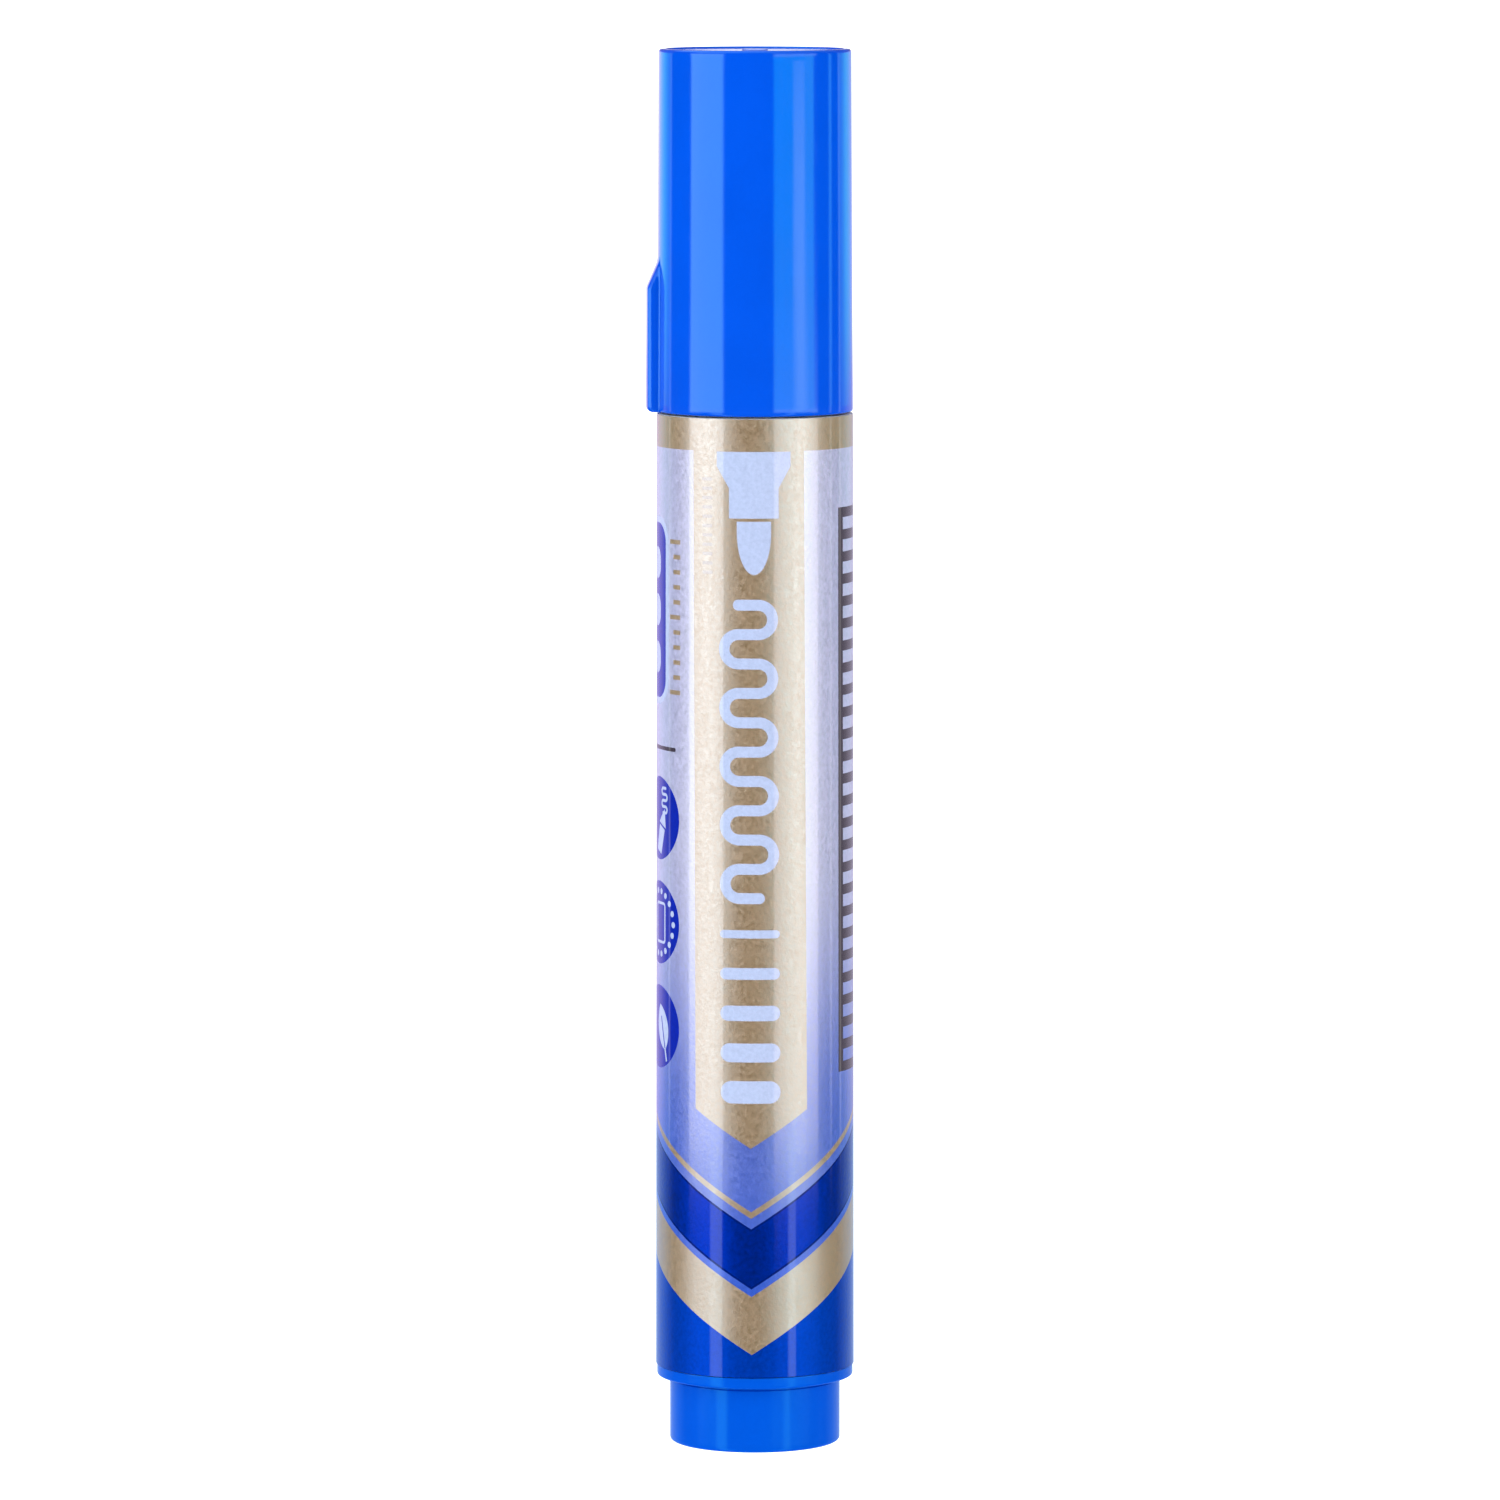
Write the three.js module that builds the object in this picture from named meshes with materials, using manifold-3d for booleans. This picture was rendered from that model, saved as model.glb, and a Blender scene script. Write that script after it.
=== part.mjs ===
// Whiteboard marker with its cap on, standing on its tail.
// Units are millimetres. +Z runs from the tail to the cap, and the origin is the centre of the
// tail's flat end. The cap's anti-roll rib points along -X and the front of the label along -Y.
// Every piece is turned about the Z axis in the same number of facets, so that nested pieces keep
// an even clearance all round.
import * as THREE from 'three';
import { mergeVertices } from 'three/addons/utils/BufferGeometryUtils.js';
import Module from 'manifold-3d';

const wasm = await Module();
wasm.setup();

// ---- driving dimensions ------------------------------------------------------------------------
const FACETS = 36;
const CLEARANCE = 0.05; // between pressed-together pieces
const QUARTER_TURN = Math.PI / 2;

// end plug: a stub that the cap fits on, a flange, and a spigot inside the barrel
const STUB_LENGTH = 6.5;
const STUB_RADIUS = 8.33;
const STUB_EDGE = 0.35;
const STUB_WALL = 1.2;
const FLANGE_RADIUS = 9.59;
const FLANGE_THICKNESS = 1.1;
const FLANGE_EDGE = 0.2;
const SPIGOT_LENGTH = 9.5;
const SPIGOT_WALL = 0.9;
const PLUG_FIN_COUNT = 4;

// barrel: a drafted tube with a neck moulded on its front end
const BARREL_LENGTH = 93.2;
const BARREL_BOTTOM_RADIUS = 9.58;
const BARREL_TOP_RADIUS = 9.41;
const BARREL_BORE_RADIUS = 8.4;
const BARREL_EDGE = 0.2;
const NECK_LENGTH = 7.45;
const NECK_RADIUS = 8.3;
const NECK_BORE_RADIUS = 7.0;
const BARREL_FIN_COUNT = 6;
const FIN_THICKNESS = 0.8;

// printed film round the barrel
const FILM_THICKNESS = 0.1;
const FILM_CLEARANCE = 0.03;
const FILM_FOOT_MARGIN = 0.02; // bare plastic left at the barrel's tail end
const FILM_HEAD_MARGIN = 0.23; // and at its shoulder

// ink reservoir: a fibre rod in a film wrap
const CORE_RADIUS = 7.05;
const CORE_LENGTH = 86.2;
const WRAP_THICKNESS = 0.08;

// nib and the holder pressed into the neck
const NIB_RADIUS = 2.5;
const NIB_LENGTH = 40.5;
const NIB_POINT_LENGTH = 5.2;
const NIB_IN_CORE = 7.2;
const HOLDER_SPIGOT_LENGTH = 10.5;
const HOLDER_SPIGOT_WALL = 1.1;
const HOLDER_FLANGE_RADIUS = 7.9;
const HOLDER_FLANGE_THICKNESS = 0.95;
const HOLDER_SEAL_RADIUS = 5.55;
const HOLDER_SEAL_LENGTH = 5.1;
const HOLDER_TAPER_LENGTH = 3.2;
const HOLDER_NOSE_RADIUS = 3.7;
const HOLDER_NOSE_LENGTH = 4;
const HOLDER_WEB = 1.6; // thickness of the holder's floor below its flange

// cap: a drafted shell with an anti-roll rib, and a soft cup that seals the nib
const CAP_GAP = 0.15; // between the cap's mouth and the barrel's shoulder
const CAP_LENGTH = 35.1;
const CAP_MOUTH_RADIUS = 9.52;
const CAP_TOP_RADIUS = 9.35;
const CAP_BORE_RADIUS = 8.42;
const CAP_EDGE = 0.25;
const CAP_ROOF = 1.55;
const CAP_RECESS_DEPTH = 0.15;
const CAP_RIM = 0.7;
const SOCKET_LENGTH = 6.8;
const SOCKET_WALL = 0.9;
const SEAL_LENGTH = 23.9;
const SEAL_RADIUS = 6.45;
const SEAL_BORE_RADIUS = 5.3;
const SEAL_ROOF = 1.1;
const RIB_RADIUS = 10.57;
const RIB_WIDTH = 4.6;
const RIB_LENGTH = 14.85;
const RIB_RAMP = 2.8;
const RIB_CORNER = 0.5;
const RIB_ROOT_RADIUS = 8.9; // inside the cap's wall

// ---- places along the axis, above the tail's flat end ------------------------------------------
const BARREL_SEAT = STUB_LENGTH + FLANGE_THICKNESS + CLEARANCE;
const SHOULDER = BARREL_SEAT + BARREL_LENGTH;
const NECK_END = SHOULDER + NECK_LENGTH;
const CAP_SEAT = SHOULDER + CAP_GAP;
const CAP_ROOF_INSIDE = CAP_LENGTH - CAP_RECESS_DEPTH - CAP_ROOF;
const SEAL_SEAT = CAP_SEAT + CAP_ROOF_INSIDE - 0.2 - SEAL_LENGTH;
const CORE_SEAT = 8.9;
const NIB_SEAT = CORE_SEAT + CORE_LENGTH - NIB_IN_CORE;
const HOLDER_SEAT = NECK_END + CLEARANCE;

// ---- materials ---------------------------------------------------------------------------------
const bluePlastic = new THREE.MeshStandardMaterial({ color: 0x0a66f0, roughness: 0.25 });
const whitePlastic = new THREE.MeshStandardMaterial({ color: 0xf2f2ee, roughness: 0.35 });
const sealPlastic = new THREE.MeshStandardMaterial({ color: 0xe6eef5, roughness: 0.5 });
const printedFilm = new THREE.MeshStandardMaterial({ color: 0xc9ccea, roughness: 0.3, metalness: 0.2 });
const wrapFilm = new THREE.MeshStandardMaterial({ color: 0xdde6f2, roughness: 0.3 });
const inkFibre = new THREE.MeshStandardMaterial({ color: 0x2a4fb8, roughness: 0.95 });
const inkFelt = new THREE.MeshStandardMaterial({ color: 0x1b3da8, roughness: 0.9 });

// ---- building blocks ---------------------------------------------------------------------------
// A solid of revolution about Z. The outline is a list of [radius, height] points that runs
// counterclockwise, and it either starts and ends on the axis or is closed here.
function turned(outline) {
  const points = outline.map(([radius, height]) => new THREE.Vector2(radius, height));
  if (points[0].x > 0) {
    points.push(points[0].clone());
  }
  return new THREE.LatheGeometry(points, FACETS).rotateX(QUARTER_TURN);
}

// Points of a rounded edge: an arc round a centre, with its ends given in quarter turns.
function roundedEdge(centreRadius, centreHeight, radius, from, to) {
  const curve = new THREE.EllipseCurve(
    centreRadius, centreHeight, radius, radius, from * QUARTER_TURN, to * QUARTER_TURN, to < from,
  );
  return curve.getPoints(2).map((point) => point.toArray());
}

// Points of a low triangular ridge or groove in a wall, between two heights.
function ridge(wallRadius, crestRadius, from, to) {
  return [
    [wallRadius, from],
    [crestRadius, (from + to) / 2],
    [wallRadius, to],
  ];
}

function toSolid(geometry) {
  const bare = geometry.clone();
  bare.deleteAttribute('normal');
  bare.deleteAttribute('uv');
  const merged = mergeVertices(bare);
  return new wasm.Manifold(new wasm.Mesh({
    numProp: 3,
    vertProperties: new Float32Array(merged.attributes.position.array),
    triVerts: new Uint32Array(merged.index.array),
  }));
}

function toGeometry(solid) {
  const mesh = solid.getMesh();
  const geometry = new THREE.BufferGeometry();
  geometry.setAttribute('position', new THREE.BufferAttribute(mesh.vertProperties, 3));
  geometry.setIndex(new THREE.BufferAttribute(mesh.triVerts, 1));
  geometry.computeVertexNormals();
  return geometry;
}

// Flat radial fins, evenly spaced round the axis, joined to a body whose wall they run into.
function withFins(body, count, innerRadius, outerRadius, bottom, top) {
  let solid = toSolid(body);
  for (let i = 0; i < count; i += 1) {
    const fin = new THREE.BoxGeometry(outerRadius - innerRadius, FIN_THICKNESS, top - bottom);
    fin.translate((innerRadius + outerRadius) / 2, 0, (bottom + top) / 2);
    fin.rotateZ((i / count) * 2 * Math.PI + QUARTER_TURN / 3);
    solid = solid.add(toSolid(fin));
  }
  return toGeometry(solid);
}

function piece(name, geometry, material, seat) {
  const mesh = new THREE.Mesh(geometry, material);
  mesh.name = name;
  mesh.position.z = seat;
  return mesh;
}

// ---- pieces, each with its own lower end at height 0 -------------------------------------------
function endPlug() {
  const spigotRadius = BARREL_BORE_RADIUS - 2 * CLEARANCE;
  const boreRadius = spigotRadius - SPIGOT_WALL;
  const flangeTop = STUB_LENGTH + FLANGE_THICKNESS;
  const top = flangeTop + SPIGOT_LENGTH;
  const leadIn = 0.6;
  const body = turned([
    [0, 0],
    ...roundedEdge(STUB_RADIUS - STUB_EDGE, STUB_EDGE, STUB_EDGE, -1, 0),
    [STUB_RADIUS, STUB_LENGTH],
    ...roundedEdge(FLANGE_RADIUS - FLANGE_EDGE, STUB_LENGTH + FLANGE_EDGE, FLANGE_EDGE, -1, 0),
    [FLANGE_RADIUS, flangeTop],
    [spigotRadius, flangeTop],
    ...ridge(spigotRadius, spigotRadius + CLEARANCE, flangeTop + 2.5, flangeTop + 3.5),
    ...ridge(spigotRadius, spigotRadius + CLEARANCE, flangeTop + 5, flangeTop + 6),
    [spigotRadius, top - leadIn],
    [spigotRadius - leadIn / 2, top],
    [boreRadius, top],
    [STUB_RADIUS - STUB_WALL, STUB_WALL],
    [0, STUB_WALL],
  ]);
  const finTop = CORE_SEAT - 0.3;
  return withFins(body, PLUG_FIN_COUNT, 2, boreRadius + 0.2, STUB_WALL / 2, finTop);
}

function barrelTube() {
  const neckTop = BARREL_LENGTH + NECK_LENGTH;
  const neckFloor = BARREL_LENGTH - 3.4; // where the bore has closed in to the neck's bore
  const body = turned([
    [BARREL_BORE_RADIUS, 0],
    [BARREL_BOTTOM_RADIUS - BARREL_EDGE, 0],
    [BARREL_BOTTOM_RADIUS, BARREL_EDGE],
    [BARREL_TOP_RADIUS, BARREL_LENGTH - BARREL_EDGE],
    [BARREL_TOP_RADIUS - BARREL_EDGE, BARREL_LENGTH],
    [NECK_RADIUS, BARREL_LENGTH],
    ...ridge(NECK_RADIUS, NECK_RADIUS + CLEARANCE, BARREL_LENGTH + 3.4, BARREL_LENGTH + 4.6),
    [NECK_RADIUS, neckTop - 0.5],
    [NECK_RADIUS - 0.3, neckTop],
    [NECK_BORE_RADIUS, neckTop],
    [NECK_BORE_RADIUS, neckFloor],
    [BARREL_BORE_RADIUS, neckFloor - 1.6],
  ]);
  const finBottom = SPIGOT_LENGTH + 1;
  const finTop = neckFloor - 3;
  const finRadius = CORE_RADIUS + 0.4;
  return withFins(body, BARREL_FIN_COUNT, finRadius, BARREL_BORE_RADIUS + 0.3, finBottom, finTop);
}

function labelFilm() {
  const length = BARREL_LENGTH - FILM_FOOT_MARGIN - FILM_HEAD_MARGIN;
  const innerBottom = BARREL_BOTTOM_RADIUS + FILM_CLEARANCE;
  const innerTop = BARREL_TOP_RADIUS + FILM_CLEARANCE;
  return turned([
    [innerBottom, 0],
    [innerBottom + FILM_THICKNESS, 0],
    [innerTop + FILM_THICKNESS, length],
    [innerTop, length],
  ]);
}

function reservoirCore() {
  const holeRadius = NIB_RADIUS + CLEARANCE;
  const holeFloor = CORE_LENGTH - NIB_IN_CORE - CLEARANCE;
  return turned([
    [0, 0],
    [CORE_RADIUS, 0],
    [CORE_RADIUS, CORE_LENGTH],
    [holeRadius, CORE_LENGTH],
    [holeRadius, holeFloor],
    [0, holeFloor],
  ]);
}

function reservoirWrap() {
  const innerRadius = CORE_RADIUS + FILM_CLEARANCE;
  return turned([
    [innerRadius, 0],
    [innerRadius + WRAP_THICKNESS, 0],
    [innerRadius + WRAP_THICKNESS, CORE_LENGTH],
    [innerRadius, CORE_LENGTH],
  ]);
}

// The point of the rod is half an ellipse in outline.
function bulletNib() {
  const shoulder = NIB_LENGTH - NIB_POINT_LENGTH;
  const point = new THREE.EllipseCurve(0, shoulder, NIB_RADIUS, NIB_POINT_LENGTH, 0, QUARTER_TURN);
  return turned([
    [0, 0],
    [NIB_RADIUS - 0.3, 0],
    [NIB_RADIUS, 0.3],
    ...point.getPoints(7).slice(0, -1).map((place) => place.toArray()),
    [0, NIB_LENGTH],
  ]);
}

// Height 0 is the underside of the flange, which rests on the end of the neck.
function nibHolder() {
  const spigotRadius = NECK_BORE_RADIUS - CLEARANCE;
  const spigotBore = spigotRadius - HOLDER_SPIGOT_WALL;
  const nibBore = NIB_RADIUS + CLEARANCE;
  const sealTop = HOLDER_FLANGE_THICKNESS + HOLDER_SEAL_LENGTH;
  const noseBottom = sealTop + HOLDER_TAPER_LENGTH;
  const noseTop = noseBottom + HOLDER_NOSE_LENGTH;
  return turned([
    [spigotBore, -HOLDER_SPIGOT_LENGTH],
    [spigotRadius - 0.3, -HOLDER_SPIGOT_LENGTH],
    [spigotRadius, 0.5 - HOLDER_SPIGOT_LENGTH],
    [spigotRadius, 0],
    [HOLDER_FLANGE_RADIUS, 0],
    ...roundedEdge(HOLDER_FLANGE_RADIUS - 0.3, HOLDER_FLANGE_THICKNESS - 0.3, 0.3, 0, 1),
    [HOLDER_SEAL_RADIUS, HOLDER_FLANGE_THICKNESS],
    [HOLDER_SEAL_RADIUS, sealTop],
    [HOLDER_NOSE_RADIUS, noseBottom],
    [HOLDER_NOSE_RADIUS - 0.1, noseTop - 0.3],
    [HOLDER_NOSE_RADIUS - 0.4, noseTop],
    [nibBore, noseTop],
    [nibBore, -HOLDER_WEB],
    [spigotBore, -HOLDER_WEB],
  ]);
}

function capShell() {
  const socketBore = SEAL_RADIUS + CLEARANCE;
  const socketRadius = socketBore + SOCKET_WALL;
  const socketBottom = CAP_ROOF_INSIDE - SOCKET_LENGTH;
  const recessFloor = CAP_LENGTH - CAP_RECESS_DEPTH;
  const shell = turned([
    [0, CAP_ROOF_INSIDE],
    [socketBore, CAP_ROOF_INSIDE],
    [socketBore, socketBottom],
    [socketRadius, socketBottom],
    [socketRadius, CAP_ROOF_INSIDE],
    [CAP_BORE_RADIUS - 0.2, CAP_ROOF_INSIDE],
    [CAP_BORE_RADIUS, NECK_LENGTH + 1.5],
    ...ridge(CAP_BORE_RADIUS, CAP_BORE_RADIUS + 0.1, 4.5, 3),
    [CAP_BORE_RADIUS, 0.4],
    [CAP_BORE_RADIUS + 0.25, 0],
    ...roundedEdge(CAP_MOUTH_RADIUS - CAP_EDGE, CAP_EDGE, CAP_EDGE, -1, 0),
    ...roundedEdge(CAP_TOP_RADIUS - CAP_EDGE, CAP_LENGTH - CAP_EDGE, CAP_EDGE, 0, 1),
    [CAP_TOP_RADIUS - CAP_RIM, CAP_LENGTH],
    [CAP_TOP_RADIUS - CAP_RIM - CAP_RECESS_DEPTH / 2, recessFloor],
    [0, recessFloor],
  ]);
  return toGeometry(toSolid(shell).add(antiRollRib()));
}

// A parallel-sided rib whose outer face is round the cap's axis, with a ramp at its upper end.
function antiRollRib() {
  const side = new THREE.Shape();
  side.moveTo(-RIB_ROOT_RADIUS, 0);
  side.lineTo(-RIB_ROOT_RADIUS, RIB_LENGTH);
  side.lineTo(-CAP_TOP_RADIUS, RIB_LENGTH);
  side.lineTo(-RIB_RADIUS, RIB_LENGTH - RIB_RAMP);
  side.lineTo(-RIB_RADIUS, RIB_CORNER);
  side.absarc(RIB_CORNER - RIB_RADIUS, RIB_CORNER, RIB_CORNER, 2 * QUARTER_TURN, 3 * QUARTER_TURN);
  const blank = new THREE.ExtrudeGeometry(side, {
    depth: RIB_WIDTH, bevelEnabled: false, curveSegments: 3,
  });
  blank.rotateX(QUARTER_TURN);
  blank.translate(0, RIB_WIDTH / 2, 0);
  const outerFace = turned([[0, 0], [RIB_RADIUS, 0], [RIB_RADIUS, RIB_LENGTH], [0, RIB_LENGTH]]);
  return toSolid(blank).intersect(toSolid(outerFace));
}

// A deep cup, mouth down, with a bead near its mouth that grips the nib holder.
function capInnerSeal() {
  const mouthBore = SEAL_BORE_RADIUS + 0.4;
  return turned([
    [0, SEAL_LENGTH - SEAL_ROOF],
    [SEAL_BORE_RADIUS, SEAL_LENGTH - SEAL_ROOF],
    ...ridge(mouthBore, HOLDER_SEAL_RADIUS + CLEARANCE, 2.6, 1.4),
    [mouthBore, 0.5],
    [mouthBore + 0.3, 0],
    [SEAL_RADIUS - 0.15, 0],
    [SEAL_RADIUS, 0.15],
    [SEAL_RADIUS, SEAL_LENGTH - 0.3],
    [SEAL_RADIUS - 0.3, SEAL_LENGTH],
    [0, SEAL_LENGTH],
  ]);
}

// ---- assembly ----------------------------------------------------------------------------------
const cap = new THREE.Group();
cap.add(
  piece('cap_shell', capShell(), bluePlastic, CAP_SEAT),
  piece('cap_inner_seal', capInnerSeal(), sealPlastic, SEAL_SEAT),
);

const barrel = new THREE.Group();
barrel.add(
  piece('barrel_tube', barrelTube(), whitePlastic, BARREL_SEAT),
  piece('label_film', labelFilm(), printedFilm, BARREL_SEAT + FILM_FOOT_MARGIN),
  piece('reservoir_core', reservoirCore(), inkFibre, CORE_SEAT),
  piece('reservoir_wrap', reservoirWrap(), wrapFilm, CORE_SEAT),
  piece('nib_holder', nibHolder(), whitePlastic, HOLDER_SEAT),
  piece('bullet_nib', bulletNib(), inkFelt, NIB_SEAT),
);

const marker = new THREE.Group();
marker.add(piece('end_plug', endPlug(), bluePlastic, 0), barrel, cap);

export default marker;
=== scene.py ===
"""The looks of a whiteboard marker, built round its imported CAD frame.

Outlines are in millimetres in the row frame: +Z runs from the tail to the cap, the front of the
label faces -Y and the cap's anti-roll rib points along -X. Meshes are made in metres.
"""

import math

import bmesh
import bpy
import numpy as np
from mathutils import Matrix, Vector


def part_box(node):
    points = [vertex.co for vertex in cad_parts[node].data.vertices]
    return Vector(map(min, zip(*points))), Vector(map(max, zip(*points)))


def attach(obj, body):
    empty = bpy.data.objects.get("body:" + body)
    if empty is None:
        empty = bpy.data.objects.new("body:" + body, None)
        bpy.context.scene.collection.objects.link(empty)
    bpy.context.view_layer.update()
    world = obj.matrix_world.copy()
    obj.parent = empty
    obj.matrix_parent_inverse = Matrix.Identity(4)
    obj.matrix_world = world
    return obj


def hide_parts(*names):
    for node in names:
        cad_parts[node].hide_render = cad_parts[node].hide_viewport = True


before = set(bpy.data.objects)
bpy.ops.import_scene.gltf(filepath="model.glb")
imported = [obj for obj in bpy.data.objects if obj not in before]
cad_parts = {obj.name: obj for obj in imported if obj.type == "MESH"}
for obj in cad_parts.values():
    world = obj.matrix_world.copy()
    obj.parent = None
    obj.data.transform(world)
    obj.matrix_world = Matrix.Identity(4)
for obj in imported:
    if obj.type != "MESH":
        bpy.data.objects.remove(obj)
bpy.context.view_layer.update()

MM = 0.001
FULL_TURN = 2 * math.pi

# ---- driving sizes, in millimetres -------------------------------------------------------------
CLEARANCE = 0.05  # between pressed-together pieces
STUB_LENGTH = 6.5
STUB_RADIUS = 8.33
STUB_WALL = 1.2
STUB_GROOVE = 0.4  # the width of the groove below the flange
STUB_GROOVE_DEPTH = 0.13
FLANGE_TOP = 7.6
SPIGOT_RADIUS = 8.3
SPIGOT_BORE_RADIUS = 7.4
PLUG_FINS = 4
PLUG_FIN_TIP = 2.0
PLUG_FIN_TOP = 8.6

BORE_RADIUS = 8.4
SHOULDER_RADIUS = 9.41
NECK_LENGTH = 7.45
NECK_RADIUS = 8.3
NECK_BORE_RADIUS = 7.0
BARREL_FINS = 6
BARREL_FIN_TIP = 7.45
FIN_THICKNESS = 0.8
FIN_TURN = math.radians(30)  # where the first fin stands, from +X
SNAP_BEAD = 0.05

FILM_THICKNESS = 0.1
FILM_DRAFT = 0.17  # how much narrower the film is at the shoulder
FILM_STRETCH = 0.17  # how far the film reaches past its CAD solid at the shoulder
FILM_OVERLAP = math.radians(7)

CORE_FLUTES = 60
WRAP_THICKNESS = 0.08
NIB_POINT = 5.2
NIB_HOLE_RADIUS = 2.55

HOLDER_SPIGOT_RADIUS = 6.95
HOLDER_SPIGOT_BORE = 5.85
HOLDER_FLANGE = 0.95
HOLDER_SEAL_RADIUS = 5.55
HOLDER_SEAL_LENGTH = 5.1
HOLDER_TAPER = 3.2
HOLDER_NOSE_RADIUS = 3.7
HOLDER_WEB = 1.6

CAP_MOUTH_RADIUS = 9.52
CAP_TOP_RADIUS = 9.35
CAP_BORE_RADIUS = 8.42
CAP_FOOT_EDGE = 0.25
CAP_HEAD_EDGE = 0.35
CAP_ROOF = 1.55
CAP_RECESS = 0.15
CAP_RIM = 0.7
SOCKET_RADIUS = 7.4
SOCKET_LENGTH = 6.8
RIB_HALF_WIDTH = 2.3
RIB_TAPER = math.tan(math.radians(8))
RIB_LENGTH = 14.85
RIB_RAMP = 2.8
RIB_CORNER = 0.5
RIB_REACH = math.radians(40)  # the wall is plain beyond this angle from the rib's middle
RIB_FACE_BLEND = 0.06
RIB_SIDE_BLEND = 0.75
RIB_FOOT_BLEND = 0.3

SEAL_BORE_RADIUS = 5.3
SEAL_ROOF = 1.1

# ---- the label, developed: u runs round the barrel from its front towards +X, v is the height ---
LABEL_RADIUS = 9.6  # a turn of one radian is this much u
PANEL_HALF_WIDTH = 5.7
PANEL_TIP = 30.1
PRINT_FOOT = 15.0  # at this height the panel's middle is off the front by the shift
PRINT_SHIFT = -0.33
PRINT_LEAN = -0.005  # how much further off it is with each millimetre up
HEADER_BOTTOM = 97.7
CHEVRON_SLOPE = 0.65
FADE_TOP = 61.0  # the film turns from silver to blue below this height, over the fade's length
FADE_LENGTH = 30.0
DEEP_FADE_TOP = 32.0
DEEP_FADE_LENGTH = 17.0

# ---- the camera, at the photograph's angle -----------------------------------------------------
CAMERA_PLACE = (-0.48, -879.0, 157.4)
CAMERA_PITCH = math.radians(5.812)
CAMERA_LENS = 217.65
CAMERA_SENSOR = 36.0


def span(node):
    """The lowest and highest height of a CAD node, in millimetres."""
    low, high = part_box(node)
    return low.z / MM, high.z / MM


def radius_of(node):
    """The largest radius of a round CAD node, in millimetres."""
    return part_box(node)[1].x / MM


# ---- outlines ----------------------------------------------------------------------------------
def rounded(corners, closed=False):
    """Points of an outline given as corners (radius, height, fillet). Each fillet is an arc, and a
    point a little way along each long side keeps the shading flat there."""
    corners = [(c[0], c[1], c[2] if len(c) > 2 else 0.0) for c in corners]
    places = [np.array(c[:2], float) for c in corners]
    count = len(corners)
    points = []
    for i, (_, _, fillet) in enumerate(corners):
        here = places[i]
        at_end = not closed and i in (0, count - 1)
        if at_end or fillet <= 0:
            points.append(tuple(here))
            continue
        before = places[i - 1] - here
        after = places[(i + 1) % count] - here
        points.extend(fillet_points(here, before, after, fillet))
    return points


def fillet_points(corner, before, after, fillet):
    """An arc across a corner, with a support point on each side that is long enough to hold one."""
    reach_before, reach_after = np.linalg.norm(before), np.linalg.norm(after)
    a, b = before / reach_before, after / reach_after
    half = math.acos(max(-1.0, min(1.0, float(a @ b)))) / 2
    tangent = min(fillet / math.tan(half), 0.48 * reach_before, 0.48 * reach_after)
    radius = tangent * math.tan(half)
    middle = (a + b) / np.linalg.norm(a + b)
    centre = corner + middle * (radius / math.sin(half))
    start, end = corner + a * tangent - centre, corner + b * tangent - centre
    turn = math.pi - 2 * half
    steps = max(3, math.ceil(turn / math.radians(15)))
    arc = []
    for k in range(steps + 1):
        t = k / steps
        weight = (math.sin((1 - t) * turn), math.sin(t * turn))
        arc.append(tuple(centre + (start * weight[0] + end * weight[1]) / math.sin(turn)))
    support = 1.5 * tangent
    if reach_before > 4 * tangent:
        arc.insert(0, tuple(corner + a * (tangent + support * 0.4)))
    if reach_after > 4 * tangent:
        arc.append(tuple(corner + b * (tangent + support * 0.4)))
    return arc


def bead(wall, crest, low, high):
    """Corners of a low rounded bead or groove in a wall."""
    return [(wall, low, 0.2), (crest, (low + high) / 2, 0.5), (wall, high, 0.2)]


def even_angles(count):
    return [FULL_TURN * i / count for i in range(count)]


def angles_with(extra, count):
    """Even angles round the axis, with extra ones that take the place of those close to them."""
    step = FULL_TURN / count
    extra = sorted(a % FULL_TURN for a in extra)
    kept = [a for a in even_angles(count) if all(off_turn(a, e) > 0.45 * step for e in extra)]
    return sorted(kept + extra)


def off_turn(a, b):
    """The unsigned angle between two directions."""
    return abs((a - b + math.pi) % FULL_TURN - math.pi)


def fin_directions(count):
    return [FIN_TURN + FULL_TURN * i / count for i in range(count)]


def fin_side_angles(count, radii):
    """The angles at which the flat sides of the fins cross these radii."""
    offsets = [math.asin(FIN_THICKNESS / 2 / r) for r in radii]
    return [d + s * o for d in fin_directions(count) for o in offsets for s in (-1, 1)]


def fin_radius(angle, count, tip, wall):
    """Where a ray from the axis meets a fin, or the wall between fins."""
    off = min(off_turn(angle, d) for d in fin_directions(count))
    side = FIN_THICKNESS / 2 / max(math.sin(min(off, math.pi / 2)), 1e-6)
    return min(max(side, tip), wall)


def smooth_least(a, b, blend):
    overlap = max(blend - abs(a - b), 0.0)
    return min(a, b) - overlap * overlap / (4 * blend)


def smooth_most(a, b, blend):
    return -smooth_least(-a, -b, blend)


# ---- meshes ------------------------------------------------------------------------------------
def swept(outline_at, angles, closed):
    """Vertices and faces of a solid of outlines set round the Z axis, all with as many points.
    outline_at(angle) starts and ends on the axis, or is closed."""
    rings = [outline_at(a) for a in angles]
    rows, columns = len(rings[0]), len(angles)
    vertices = [
        (r * math.cos(a), r * math.sin(a), z) for a, ring in zip(angles, rings) for r, z in ring
    ]
    faces = []
    for i in range(columns):
        j = (i + 1) % columns
        for k in range(rows if closed else rows - 1):
            m = (k + 1) % rows
            faces.append((i * rows + k, j * rows + k, j * rows + m, i * rows + m))
    return vertices, faces


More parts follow.
